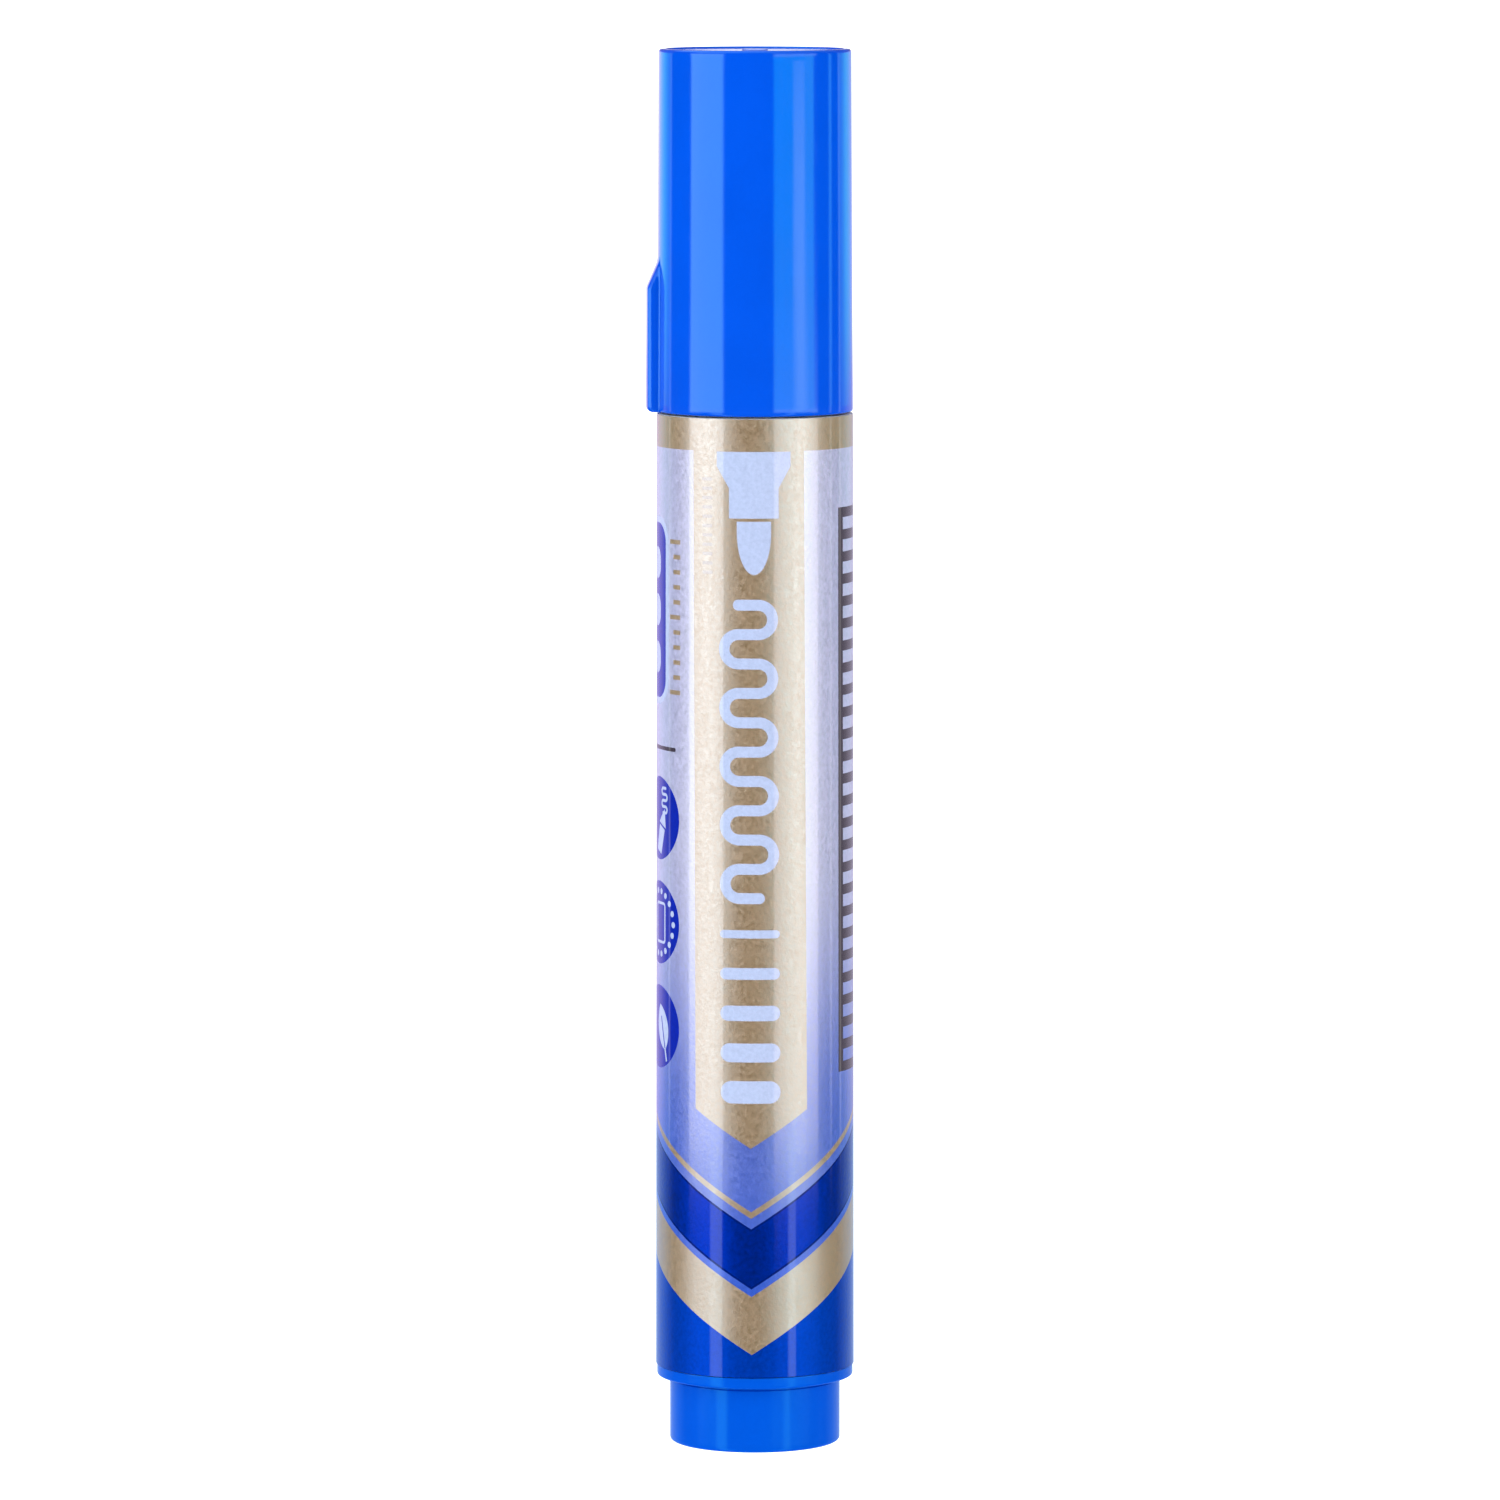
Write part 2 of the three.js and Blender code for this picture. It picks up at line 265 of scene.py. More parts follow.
def new_piece(name, shape, material, body, node, uv=None):
    """Makes a smooth-shaded mesh in metres that rides on a body and stands for a CAD node."""
    vertices, faces = shape
    mesh = bpy.data.meshes.new(name)
    mesh.from_pydata([(x * MM, y * MM, z * MM) for x, y, z in vertices], [], faces)
    if uv is not None:
        layer = mesh.uv_layers.new(name="print")
        corner_vertices = np.zeros(len(mesh.loops), int)
        mesh.loops.foreach_get("vertex_index", corner_vertices)
        layer.data.foreach_set("uv", np.array(uv, np.float32)[corner_vertices].ravel())
    work = bmesh.new()
    work.from_mesh(mesh)
    bmesh.ops.remove_doubles(work, verts=work.verts, dist=1e-7)
    bmesh.ops.recalc_face_normals(work, faces=work.faces)
    work.to_mesh(mesh)
    work.free()
    mesh.shade_smooth()
    mesh.set_sharp_from_angle(angle=math.radians(38))
    piece = bpy.data.objects.new(name, mesh)
    bpy.context.scene.collection.objects.link(piece)
    piece.data.materials.append(material)
    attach(piece, body)
    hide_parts(node)
    return piece


def round_piece(name, corners, angles, closed, material, body):
    """A plain turned piece that stands for the CAD node of the same name."""
    outline = rounded(corners, closed)
    shape = swept(lambda angle: outline, angles, closed)
    return new_piece(name + "_fine", shape, material, body, name)


# ---- nodes -------------------------------------------------------------------------------------
class Field:
    """A number that varies over a surface, worked out by Math nodes."""

    def __init__(self, tree, socket):
        self.tree = tree
        self.socket = socket

    def math(self, operation, *others):
        return calculate(self.tree, operation, self, *others)

    def __add__(self, other):
        return self.math("ADD", other)

    def __sub__(self, other):
        return self.math("SUBTRACT", other)

    def __rsub__(self, other):
        return calculate(self.tree, "SUBTRACT", other, self)

    def __mul__(self, other):
        return self.math("MULTIPLY", other)

    def __truediv__(self, other):
        return self.math("DIVIDE", other)

    def __neg__(self):
        return self.math("MULTIPLY", -1.0)

    __radd__ = __add__
    __rmul__ = __mul__

    def size(self):
        return self.math("ABSOLUTE")

    def least(self, other):
        return self.math("MINIMUM", other)

    def most(self, other):
        return self.math("MAXIMUM", other)

    def floor(self):
        return self.math("FLOOR")

    def above(self, limit):
        return self.math("GREATER_THAN", limit)

    def clamped(self):
        return self.most(0.0).least(1.0)


def calculate(tree, operation, *values):
    node = tree.nodes.new("ShaderNodeMath")
    node.operation = operation
    for socket, value in zip(node.inputs, values):
        if isinstance(value, Field):
            tree.links.new(value.socket, socket)
        else:
            socket.default_value = value
    return Field(tree, node.outputs[0])


def length_of(x, y):
    return (x * x + y * y).math("SQRT")


def step_up(value, start, end):
    """0 below start and 1 above end, smooth between them."""
    node = value.tree.nodes.new("ShaderNodeMapRange")
    node.interpolation_type = "SMOOTHSTEP"
    value.tree.links.new(value.socket, node.inputs["Value"])
    node.inputs["From Min"].default_value = start
    node.inputs["From Max"].default_value = end
    return Field(value.tree, node.outputs["Result"])


def separate(tree, vector):
    node = tree.nodes.new("ShaderNodeSeparateXYZ")
    tree.links.new(vector, node.inputs[0])
    return [Field(tree, out) for out in node.outputs]


def noise(tree, vector, scale, detail=2.0, roughness=0.5):
    node = tree.nodes.new("ShaderNodeTexNoise")
    tree.links.new(vector, node.inputs["Vector"])
    node.inputs["Scale"].default_value = scale
    node.inputs["Detail"].default_value = detail
    node.inputs["Roughness"].default_value = roughness
    return Field(tree, node.outputs["Fac"])


def stretched(tree, vector, scale):
    node = tree.nodes.new("ShaderNodeMapping")
    tree.links.new(vector, node.inputs["Vector"])
    node.inputs["Scale"].default_value = scale
    return node.outputs["Vector"]


def blend_colours(tree, first, second, share):
    """Mixes two colours, each a socket or a plain colour, by a field."""
    node = tree.nodes.new("ShaderNodeMix")
    node.data_type = "RGBA"
    tree.links.new(share.socket, node.inputs["Factor"])
    for key, colour in (("A", first), ("B", second)):
        socket = next(s for s in node.inputs if s.name == key and s.type == "RGBA")
        if isinstance(colour, bpy.types.NodeSocket):
            tree.links.new(colour, socket)
        else:
            socket.default_value = (*colour, 1.0)
    return next(s for s in node.outputs if s.type == "RGBA")


def shade(tree, colour, factor):
    """Multiplies a colour socket by a field."""
    node = tree.nodes.new("ShaderNodeVectorMath")
    node.operation = "SCALE"
    tree.links.new(colour, node.inputs[0])
    tree.links.new(factor.socket, node.inputs["Scale"])
    return node.outputs[0]


def added(tree, first, second):
    node = tree.nodes.new("ShaderNodeVectorMath")
    tree.links.new(first, node.inputs[0])
    tree.links.new(second, node.inputs[1])
    return node.outputs[0]


def bump(tree, shader, height, distance, strength=1.0):
    """Relief of a height field, with its depth in millimetres."""
    node = tree.nodes.new("ShaderNodeBump")
    tree.links.new(height.socket, node.inputs["Height"])
    node.inputs["Distance"].default_value = distance * MM
    node.inputs["Strength"].default_value = strength
    tree.links.new(node.outputs["Normal"], shader.inputs["Normal"])


def set_values(shader, **values):
    for key, value in values.items():
        shader.inputs[key.replace("_", " ")].default_value = value


def new_material(name, **values):
    """A material with one Principled shader, whose plain values are set here."""
    material = bpy.data.materials.new(name)
    material.use_nodes = True
    tree = material.node_tree
    shader = tree.nodes["Principled BSDF"]
    set_values(shader, **values)
    coordinates = tree.nodes.new("ShaderNodeTexCoord")
    return material, tree, shader, coordinates.outputs["Object"]


def moulded_plastic(name, deep, pale, roughness, wave, **values):
    """Injection-moulded plastic: clouded pigment, a faintly wavy gloss and fine handling marks."""
    material, tree, shader, place = new_material(name, **values)
    clouds = noise(tree, place, 140.0, 3.0, 0.55)
    specks = noise(tree, place, 2700.0, 2.0, 0.6)
    share = (clouds * 0.7 + specks * 0.3).clamped()
    colour = blend_colours(tree, deep, pale, step_up(share, 0.3, 0.7))
    tree.links.new(colour, shader.inputs["Base Color"])
    scuffs = noise(tree, stretched(tree, place, (1.0, 1.0, 0.15)), 2600.0, 2.0, 0.6)
    smears = noise(tree, place, 330.0, 3.0, 0.6)
    finish = roughness + step_up(scuffs, 0.6, 0.85) * 0.05 + (smears - 0.5) * (0.5 * roughness)
    tree.links.new(finish.socket, shader.inputs["Roughness"])
    waves = noise(tree, stretched(tree, place, (1.0, 1.0, 0.35)), 170.0, 1.0, 0.4)
    peel = noise(tree, place, 1500.0, 2.0, 0.5)
    bump(tree, shader, waves + peel * 0.02, wave)
    return material


def felt(name, dark, light, values):
    """Ink-soaked pressed fibre: strands along the axis, with a fine fuzz."""
    material, tree, shader, place = new_material(name, **values)
    strands = noise(tree, stretched(tree, place, (1.0, 1.0, 0.05)), 5200.0, 3.0, 0.6)
    fuzz = noise(tree, place, 7000.0, 2.0, 0.6)
    mixed = strands * 0.65 + fuzz * 0.35
    colour = blend_colours(tree, dark, light, step_up(mixed, 0.32, 0.68))
    tree.links.new(colour, shader.inputs["Base Color"])
    tree.links.new((0.8 + fuzz * 0.2).socket, shader.inputs["Roughness"])
    bump(tree, shader, mixed, 0.12)
    return material


# ---- the printed label -------------------------------------------------------------------------
# each ink's colour, how much it hides the film's pearl, and how metallic it is
INKS = {
    "lavender": ((0.34, 0.30, 0.51), 0.0, 0.0),
    "periwinkle": ((0.0, 0.042, 0.42), 0.37, 0.0),
    "azure": ((0.0, 0.06, 0.5), 0.8, 0.3),
    "gold": ((0.265, 0.112, 0.0), 0.0, 0.0),
    "royal": ((0.0, 0.043, 0.44), 1.0, 0.6),
    "navy": ((0.0, 0.028, 0.42), 1.0, 0.85),
    "midnight": ((0.0, 0.008, 0.13), 1.0, 0.3),
    "pale": ((0.355, 0.40, 0.56), 1.0, 0.0),
    "charcoal": ((0.04, 0.031, 0.043), 1.0, 0.0),
    "cobalt": ((0.0, 0.013, 0.31), 1.0, 0.2),
}
PRINT_EDGE = 0.05  # how far an ink's edge spreads
PEARL_IOR = 4.2  # a white sheen, stronger than clear plastic's


class Print:
    """The inks laid down so far, over the developed label."""

    def __init__(self, tree, ink):
        self.tree = tree
        self.colour, self.opacity, self.metal = INKS[ink]

    def lay(self, ink, coverage):
        colour, opacity, metal = INKS[ink]
        self.colour = blend_colours(self.tree, self.colour, colour, coverage)
        self.opacity = coverage * (opacity - self.opacity) + self.opacity
        self.metal = coverage * (metal - self.metal) + self.metal


def inside(distance):
    """How much ink there is at a signed distance from the edge of a shape."""
    return (0.5 - distance / PRINT_EDGE).clamped()


def band(value, low, high):
    """The part of a field that lies between two values, as a signed distance."""
    return (value - (low + high) / 2).size() - (high - low) / 2


def bar(x, y, half_width, half_height, corner):
    """A rounded bar centred on the origin."""
    across = (x.size() - (half_width - corner)).most(0.0)
    along = (y.size() - (half_height - corner)).most(0.0)
    return length_of(across, along) - corner


def repeated(value, pitch, first, last):
    """A coordinate that starts again every pitch, centred on 0, and the number of the cell."""
    cell = (value / pitch + 0.5).floor().most(first).least(last)
    return value - cell * pitch, cell


def meander(x, y, pitch, reach, turns):
    """Distance from a line that snakes across x while it advances along y."""
    line_y, _ = repeated(y, pitch, 0, 2 * turns)
    nearest = length_of((x.size() - reach).most(0.0), line_y)
    for side in (1, -1):
        across = x * side - reach
        turn_y, _ = repeated(y - pitch * (1 - side / 2), 2 * pitch, 0, turns - 1)
        bend = (length_of(across, turn_y) - pitch / 2).size()
        nearest = nearest.least(bend.most(across * -20.0))
    return nearest


def lay_chevrons(sheet, drop):
    """The chevrons, given by the heights of their edges at the label's front."""
    sheet.lay("royal", inside(drop - 9.92))
    sheet.lay("gold", inside(band(drop, 9.92, 15.6)))
    sheet.lay("midnight", inside(band(drop, 16.34, 22.23)))
    sheet.lay("navy", inside(band(drop, 16.58, 22.0)))
    sheet.lay("gold", inside(band(drop, 23.25, 23.9)))


def lay_panel(sheet, u, v, drop):
    """The gold header and the pointed panel that hangs from it."""
    edge = u.size() - PANEL_HALF_WIDTH
    sheet.lay("gold", inside(edge.most(PANEL_TIP - drop)).most(inside(HEADER_BOTTOM - v)))


def nib_pictogram(u, v):
    """A bullet nib below its holder, as a sign."""
    flare = ((v - 94.16) / 2.1).clamped() * (3.65 - 2.43) + 2.43
    holder = (u.size() - flare).most(band(v, 91.24, 97.67))
    nib = length_of(u, (89.9 - v).most(0.0) * (1.67 / 4.09)) - 1.67
    return holder.least(nib.most(v - 90.95))


def lay_panel_art(sheet, u, v):
    """A nib, the line it draws, and bars that show line weights."""
    sheet.lay("pale", inside(nib_pictogram(u - 0.6, v)))
    tick_v, _ = repeated(v - 90.5, 0.9, -5, 5)
    sheet.lay("pale", inside(bar(u + 4.1, tick_v, 0.55, 0.16, 0.1)) * 0.35)
    line_top, line_pitch, line_reach, line_width = 82.9, 2.842, 0.95, 1.07
    line = meander(u, line_top - v, line_pitch, line_reach, 5)
    sheet.lay("pale", inside(line - line_width / 2))
    first_bar, bar_pitch, bar_half_width = 51.0, 3.85, 2.93
    for i in range(5):
        weight = 0.8 + 0.35 * i
        row = v - (first_bar - bar_pitch * i)
        sheet.lay("pale", inside(bar(u, row, bar_half_width, weight / 2, weight / 2)))


def lay_gauge(sheet, u, v):
    """A blue gauge with a pale outline and windows, and a gold ruler beside it."""
    x, y = u + 13.35, v - 81.85
    body = bar(x, y, 3.1, 9.05, 2.4)
    sheet.lay("pale", inside(body - 0.1))
    sheet.lay("cobalt", inside(body + 0.55))
    window_y, _ = repeated(y, 4.6, -1, 1)
    sheet.lay("pale", inside(bar(x, window_y, 1.2, 1.55, 1.15)))
    tick_y, cell = repeated(v - 81.4, 1.46, -5, 5)
    long_tick = 1.0 - (cell.math("FLOORED_MODULO", 5.0) - 0.5).above(0.0)
    reach = 0.55 + 0.3 * long_tick
    x = (u + 8.2 + reach).size() - reach
    sheet.lay("gold", inside(x.most(tick_y.size() - 0.22)))
    sheet.lay("charcoal", inside(bar(u + 13.4, v - 68.5, 4.5, 0.2, 0.2)))


def turned(x, y, angle):
    """Coordinates on axes turned by an angle."""
    cosine, sine = math.cos(angle), math.sin(angle)
    return x * cosine + y * sine, y * cosine - x * sine


def nib_badge(x, y):
    """A small nib at a slant, with the line it has drawn."""
    along, across = turned(x - 0.6, y + 1.2, math.radians(70))
    rod = bar(along + 0.9, across, 1.3, 0.72, 0.12)
    point = (across.size() * 0.9 + along * 0.45 - 1.05).most(0.62 - along)
    line = meander(x - 1.3, y - 0.6, 0.6, 0.3, 2) - 0.14
    return rod.least(point).least(line)


def wiper_badge(x, y):
    """A wiping block inside a ring of dots."""
    block = bar(x - 0.3, y, 1.15, 1.9, 0.35).size() - 0.13
    turn, _ = repeated(y.math("ARCTAN2", x), math.pi / 9, -9, 9)
    dots = length_of(length_of(x, y) - 3.1, turn * 3.1) - 0.3
    return block.least(dots)


def leaf_badge(x, y):
    """A leaf with a vein: the overlap of two discs, at a slant."""
    across, along = turned(x - 0.9, y, math.radians(16))
    disc = length_of(across.size() + 1.5, along) - 2.75
    vein = (across.size() - 0.1).most(along - 1.1)
    stalk = bar(across, along + 2.9, 0.13, 0.8, 0.1)
    return disc.most(-vein).least(stalk)


def lay_badges(sheet, u, v):
    """Three round badges down the left side."""
    x = u + 12.4
    for height, drawing in ((61.6, nib_badge), (51.4, wiper_badge), (41.2, leaf_badge)):
        y = v - height
        disc = length_of(x, y) - 4.06
        sheet.lay("cobalt", inside(disc))
        sheet.lay("pale", inside(drawing(x, y).most(disc + 0.3)))


def lay_scale(sheet, u, v):
    """A dark graduated scale down the label's right side."""
    start, pitch, last = 37.5, 2.16, 25
    tick_v, cell = repeated(v - start, pitch, 0, last)
    long_tick = 1.0 - (cell.math("FLOORED_MODULO", 5.0) - 0.5).above(0.0)
    reach = 2.2 + 0.9 * long_tick
    x = u - 9.6
    tick = ((x - reach).size() - reach).most(tick_v.size() - 0.5)
    spine = band(x, 0.0, 0.9).most(band(v, start - 0.5, start + pitch * last + 0.5))
    sheet.lay("charcoal", inside(tick.least(spine)))


def lay_back(sheet, u, v):
    """Rows of short dashes where the back of a label has its small print."""
    row_x, _ = repeated(u - 24.0, 1.5, -2, 2)
    dash_v, _ = repeated(v - 70.0, 4.3, -5, 5)
    sheet.lay("charcoal", inside(bar(row_x, dash_v, 0.3, 1.85, 0.12)))


def printed_film():
    """Film under clear lacquer: a pearly shader for the transparent inks, and one for the rest."""
    lacquer = {"Coat_Weight": 1.0, "Coat_Roughness": 0.05, "Coat_IOR": 1.5}
    material, tree, pearl, place = new_material(
        "printed_film", IOR=PEARL_IOR, Roughness=0.4, **lacquer
    )
    opaque = tree.nodes.new("ShaderNodeBsdfPrincipled")
    set_values(opaque, IOR=1.5, Specular_IOR_Level=0.0, Roughness=0.4, **lacquer)
    source = tree.nodes.new("ShaderNodeUVMap")
    source.uv_map = "print"
    u, v, _ = separate(tree, source.outputs["UV"])
    centred = u - PRINT_SHIFT - (v - PRINT_FOOT) * PRINT_LEAN
    drop = v - CHEVRON_SLOPE * centred.size()
    grain = noise(tree, place, 2700.0, 2.0, 0.6)
    mottle = noise(tree, place, 2500.0, 3.0, 0.6)

    sheet = Print(tree, "lavender")
    sheet.lay("periwinkle", step_up(FADE_TOP - v + (grain - 0.5) * 4.0, 0.0, FADE_LENGTH))
    sheet.lay("azure", step_up(DEEP_FADE_TOP - v, 0.0, DEEP_FADE_LENGTH))
    lay_gauge(sheet, u, v)
    lay_badges(sheet, u, v)
    lay_scale(sheet, u, v)
    lay_back(sheet, u, v)
    lay_chevrons(sheet, drop)
    lay_panel(sheet, centred, v, drop)
    lay_panel_art(sheet, centred, v)

    sparkle = (grain - 0.5) * 0.9 + (mottle - 0.5) * 0.3
    evenness = sheet.opacity * (1.0 - sheet.metal) * 0.65
    colour = shade(tree, sheet.colour, 1.0 + sparkle * (1.0 - evenness))
    finish = 0.43 + (grain - 0.5) * 0.42
    relief = noise(tree, place, 130.0, 1.0, 0.4) + noise(tree, place, 2900.0, 1.0, 0.5) * 0.8
    for shader in (pearl, opaque):
        tree.links.new(colour, shader.inputs["Base Color"])
        tree.links.new(finish.socket, shader.inputs["Roughness"])
        bump(tree, shader, relief, 0.02)
    tree.links.new(sheet.metal.socket, opaque.inputs["Metallic"])
    mix = tree.nodes.new("ShaderNodeMixShader")
    tree.links.new(sheet.opacity.socket, mix.inputs[0])
    tree.links.new(pearl.outputs[0], mix.inputs[1])
    tree.links.new(opaque.outputs[0], mix.inputs[2])
    tree.links.new(mix.outputs[0], tree.nodes["Material Output"].inputs["Surface"])
    return material


# ---- pieces ------------------------------------------------------------------------------------
def end_plug(material):
    """The tail: a stub, a flange and a spigot, hollow, with four fins that stop the reservoir."""
    _, top = span("end_plug")
    flange = radius_of("end_plug")
    floor_bore = STUB_RADIUS - STUB_WALL
    groove_radius = STUB_RADIUS - STUB_GROOVE_DEPTH
    outside = rounded(
        [
            (0, 0.2),
            (0.8, 0.2, 0.1),
            (1.0, 0, 0.1),
            (STUB_RADIUS, 0, 0.35),
            (STUB_RADIUS, STUB_LENGTH - STUB_GROOVE, 0.05),
            (groove_radius, STUB_LENGTH - STUB_GROOVE + 0.08, 0.04),
            (groove_radius, STUB_LENGTH, 0.04),
            (flange, STUB_LENGTH, 0.2),
            (flange, FLANGE_TOP, 0.06),
            (SPIGOT_RADIUS, FLANGE_TOP, 0.1),
            *bead(SPIGOT_RADIUS, SPIGOT_RADIUS + SNAP_BEAD, FLANGE_TOP + 2.5, FLANGE_TOP + 3.5),
            *bead(SPIGOT_RADIUS, SPIGOT_RADIUS + SNAP_BEAD, FLANGE_TOP + 5, FLANGE_TOP + 6),
            (SPIGOT_RADIUS, top - 0.6, 0.3),
            (SPIGOT_RADIUS - 0.3, top, 0.1),
            (SPIGOT_BORE_RADIUS, top, 0.15),
            (floor_bore, STUB_WALL),
        ]
    )[:-1]
    taper = (SPIGOT_BORE_RADIUS - floor_bore) / (top - STUB_WALL)

    def outline(angle):
        bore_at_fin_top = floor_bore + taper * (PLUG_FIN_TOP - STUB_WALL)
        return outside + [
            (bore_at_fin_top, PLUG_FIN_TOP),
            (fin_radius(angle, PLUG_FINS, PLUG_FIN_TIP, bore_at_fin_top), PLUG_FIN_TOP),
            (fin_radius(angle, PLUG_FINS, PLUG_FIN_TIP, floor_bore), STUB_WALL),
            (0, STUB_WALL),
        ]

    radii = np.linspace(PLUG_FIN_TIP, floor_bore, 8)
    shape = swept(outline, angles_with(fin_side_angles(PLUG_FINS, radii), 192), False)
    return new_piece("end_plug_fine", shape, material, "end_plug", "end_plug")


def barrel(material):
    """The tube under the label, with six fins inside and the neck that the cap grips."""
    low, top = span("barrel_tube")
    shoulder = top - NECK_LENGTH
    neck_floor = shoulder - 3.4
    fin_bottom, fin_top = low + 10.5, neck_floor - 3
    foot_radius = radius_of("barrel_tube")
    walls = rounded(
        [
            (BORE_RADIUS, low, 0.15),
            (foot_radius, low, 0.2),
            (SHOULDER_RADIUS, shoulder, 0.2),
            (NECK_RADIUS, shoulder, 0.1),
            *bead(NECK_RADIUS, NECK_RADIUS + SNAP_BEAD, shoulder + 3.4, shoulder + 4.6),
            (NECK_RADIUS, top - 0.5, 0.2),
            (NECK_RADIUS - 0.3, top, 0.1),
            (NECK_BORE_RADIUS, top, 0.15),
            (NECK_BORE_RADIUS, neck_floor, 0.2),
            (BORE_RADIUS, neck_floor - 1.6, 0.3),
        ],
        closed=True,
    )

    def outline(angle):
        fin = fin_radius(angle, BARREL_FINS, BARREL_FIN_TIP, BORE_RADIUS)
        return walls + [
            (BORE_RADIUS, fin_top),
            (fin, fin_top),
            (fin, fin_bottom),
            (BORE_RADIUS, fin_bottom),
        ]

    sides = fin_side_angles(BARREL_FINS, (BARREL_FIN_TIP, BORE_RADIUS))
    shape = swept(outline, angles_with(sides, 192), True)
    return new_piece("barrel_fine", shape, material, "barrel", "barrel_tube")


def label_film(material):
    """The printed film: a strip wrapped round the barrel, its end lapped over its start behind."""
    low, top = span("label_film")
    top += FILM_STRETCH
    foot = radius_of("label_film")
    # the strip is divided more finely where its end lifts over its start
    turns = list(np.linspace(-math.pi, math.pi - math.radians(9), 235))
    turns += list(np.linspace(math.pi - math.radians(8), math.pi + FILM_OVERLAP, 28))
    heights = [0, 0.15, 0.5] + list(np.linspace(2, top - low - 2, 24))
    heights += [top - low - 0.5, top - low - 0.15, top - low]
    lift = FILM_THICKNESS + 0.02

    def ragged(turn, phase):
        waves = ((37, 0.4), (83, 0.35), (151, 0.25))
        return 0.02 * sum(share * math.sin(rate * turn + phase * rate) for rate, share in waves)

    def section(turn):
        """The strip's edge points at a turn, up its outside and down its inside."""
        raised = lift * min(max((turn - math.pi) / math.radians(6) + 1.3, 0), 1) ** 2
        outer = []
        for h in heights:
            share = h / (top - low)
            trim = ragged(turn, 1) * (1 - share) + ragged(turn, 2) * share
            near_end = max(0.0, 1 - min(h, top - low - h))
            outer.append((foot - FILM_DRAFT * share + raised, low + h + trim * near_end))
        return outer + [(r - FILM_THICKNESS, z) for r, z in reversed(outer)]

    vertices, uv = [], []
    for turn in turns:
        angle = turn - math.pi / 2
        for r, z in section(turn):
            vertices.append((r * math.cos(angle), r * math.sin(angle), z))
            uv.append((turn * LABEL_RADIUS, z))
    rows = 2 * len(heights)
    faces = []
    for i in range(len(turns) - 1):
        for k in range(rows):
            m = (k + 1) % rows
            faces.append((i * rows + k, (i + 1) * rows + k, (i + 1) * rows + m, i * rows + m))
    for start in (0, (len(turns) - 1) * rows):
        for k in range(len(heights) - 1):
            faces.append((start + k, start + k + 1, start + rows - 2 - k, start + rows - 1 - k))
    return new_piece(
        "label_fine", (vertices, faces), material, "barrel", "label_film", uv
    )


def reservoir_core(material):
    """The ink-filled fibre rod, finely fluted by its bundled strands, with a socket for the nib."""
    low, top = span("reservoir_core")
    radius = radius_of("reservoir_core")
    socket_floor = span("bullet_nib")[0] - CLEARANCE
    outline = rounded(
        [
            (0, low),
            (radius, low, 0.3),
            (radius, top, 0.3),
            (NIB_HOLE_RADIUS, top, 0.15),
            (NIB_HOLE_RADIUS, socket_floor, 0.1),
            (0, socket_floor),
        ]
    )

    def fluted(angle):
        flute = 0.03 * (1 - math.cos(CORE_FLUTES * angle)) / 2
        return [(r - flute if r > radius - 0.4 else r, z) for r, z in outline]

    shape = swept(fluted, even_angles(6 * CORE_FLUTES), False)
    return new_piece(
        "reservoir_core_fine", shape, material, "barrel", "reservoir_core"
    )


def reservoir_wrap(material):
    """The thin film round the fibre rod."""
    low, top = span("reservoir_wrap")
    outer = radius_of("reservoir_wrap")
    inner = outer - WRAP_THICKNESS
    corners = [
        (inner, low, 0.03),
        (outer, low, 0.03),
        (outer, top, 0.03),
        (inner, top, 0.03),
    ]
    return round_piece(
        "reservoir_wrap", corners, even_angles(128), True, material, "barrel"
    )


def bullet_nib(material):
    """A pressed-fibre rod whose point is half an ellipse in outline."""
    low, top = span("bullet_nib")
    radius = radius_of("bullet_nib")
    shoulder = top - NIB_POINT
    rod = rounded([(0, low), (radius, low, 0.3), (radius, shoulder)])
    steps = 20
    point = []
    for i in range(1, steps + 1):
        t = math.pi / 2 * i / steps
        point.append((radius * math.cos(t) if i < steps else 0, shoulder + NIB_POINT * math.sin(t)))
    shape = swept(lambda angle: rod + point, even_angles(96), False)
    return new_piece("bullet_nib_fine", shape, material, "barrel", "bullet_nib")


def nib_holder(material):
    """The stepped front piece: a spigot in the neck, a flange, a seal land, a taper and a nose."""
    low, top = span("nib_holder")
    seat = span("barrel_tube")[1] + CLEARANCE
    flange = radius_of("nib_holder")
    seal_top = seat + HOLDER_FLANGE + HOLDER_SEAL_LENGTH
    corners = [
        (HOLDER_SPIGOT_BORE, low, 0.1),
        (HOLDER_SPIGOT_RADIUS - 0.3, low, 0.1),
        (HOLDER_SPIGOT_RADIUS, low + 0.5, 0.2),
        (HOLDER_SPIGOT_RADIUS, seat, 0.1),
        (flange, seat, 0.1),
        (flange, seat + HOLDER_FLANGE, 0.3),
        (HOLDER_SEAL_RADIUS, seat + HOLDER_FLANGE, 0.2),
        (HOLDER_SEAL_RADIUS, seal_top, 0.3),
        (HOLDER_NOSE_RADIUS, seal_top + HOLDER_TAPER, 0.6),
        (HOLDER_NOSE_RADIUS - 0.1, top, 0.35),
        (NIB_HOLE_RADIUS, top, 0.15),
        (NIB_HOLE_RADIUS, seat - HOLDER_WEB, 0.15),
        (HOLDER_SPIGOT_BORE, seat - HOLDER_WEB, 0.3),
    ]
    return round_piece(
        "nib_holder", corners, even_angles(160), True, material, "barrel"
    )


